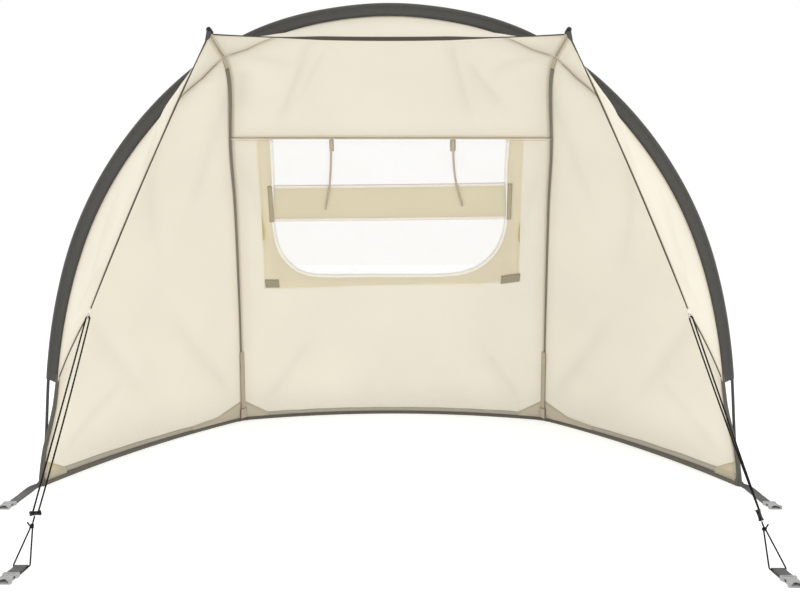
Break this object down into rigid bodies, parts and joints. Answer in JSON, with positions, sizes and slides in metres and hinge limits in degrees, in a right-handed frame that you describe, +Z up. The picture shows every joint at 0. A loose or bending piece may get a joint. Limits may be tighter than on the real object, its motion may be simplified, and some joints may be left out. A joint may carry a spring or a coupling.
{
  "type": "hot tub canopy",
  "caption": "Half-dome cloth canopy on bent rods for a round hot tub, with an open front, a visor on guy lines and a window in the back wall.",
  "frame": {"origin": "on the floor, under the middle of the whole canopy with its straps", "axes": "+X to the right of someone looking in at the open front, +Y from the open front to the window, +Z up"},
  "size_m": [1.888, 1.4862, 1.1984],
  "materials": {
    "canopy cloth": "plain-woven coated polyester, cream, thin enough to glow",
    "sleeve cloth": "dark grey woven polyester",
    "hem tape": "dark grey ribbed tape",
    "rod": "black glass-fibre rod, smooth",
    "clear film": "clear soft film",
    "webbing": "dark grey woven webbing",
    "cord": "black braided cord",
    "black plastic": "moulded, fine grain",
    "grey plastic": "moulded, satin"
  },
  "bodies": {
    "root": {"arch_rod": "rod", "arch_sleeve_left": "sleeve cloth", "arch_sleeve_right": "sleeve cloth", "arch_sleeve_top": "sleeve cloth", "back_wall": "canopy cloth", "corner_buckle_left": "grey plastic", "corner_buckle_right": "grey plastic", "corner_cup_left": "webbing", "corner_cup_right": "webbing", "corner_strap_left": "webbing", "corner_strap_right": "webbing", "crossing_tie_left": "cord", "crossing_tie_right": "cord", "flap_patch_left": "webbing", "flap_patch_right": "webbing", "front_edge_left": "webbing", "front_edge_right": "webbing", "front_edge_top": "webbing", "guy_adjuster_left": "black plastic", "guy_adjuster_right": "black plastic", "guy_buckle_left": "grey plastic", "guy_buckle_right": "grey plastic", "guy_line_left": "cord", "guy_line_right": "cord", "guy_loop_left": "cord", "guy_loop_right": "cord", "guy_webbing_left": "webbing", "guy_webbing_right": "webbing", "hem_back": "hem tape", "hem_left": "hem tape", "hem_right": "hem tape", "lower_edge_left": "webbing", "lower_edge_right": "webbing", "pull_tab_left": "canopy cloth", "pull_tab_right": "canopy cloth", "rear_cup_left": "webbing", "rear_cup_right": "webbing", "rear_rod_left": "rod", "rear_rod_right": "rod", "rear_sleeve_left": "sleeve cloth", "rear_sleeve_right": "sleeve cloth", "roof_panel": "canopy cloth", "side_wall_left": "canopy cloth", "side_wall_right": "canopy cloth", "tip_cap_left": "black plastic", "tip_cap_right": "black plastic", "visor_left": "canopy cloth", "visor_right": "canopy cloth", "visor_top": "canopy cloth", "window_band": "canopy cloth", "window_flap": "canopy cloth", "window_pane_lower": "clear film", "window_pane_upper": "clear film", "window_tie_left": "webbing", "window_tie_right": "webbing"}
  },
  "joints": []
}
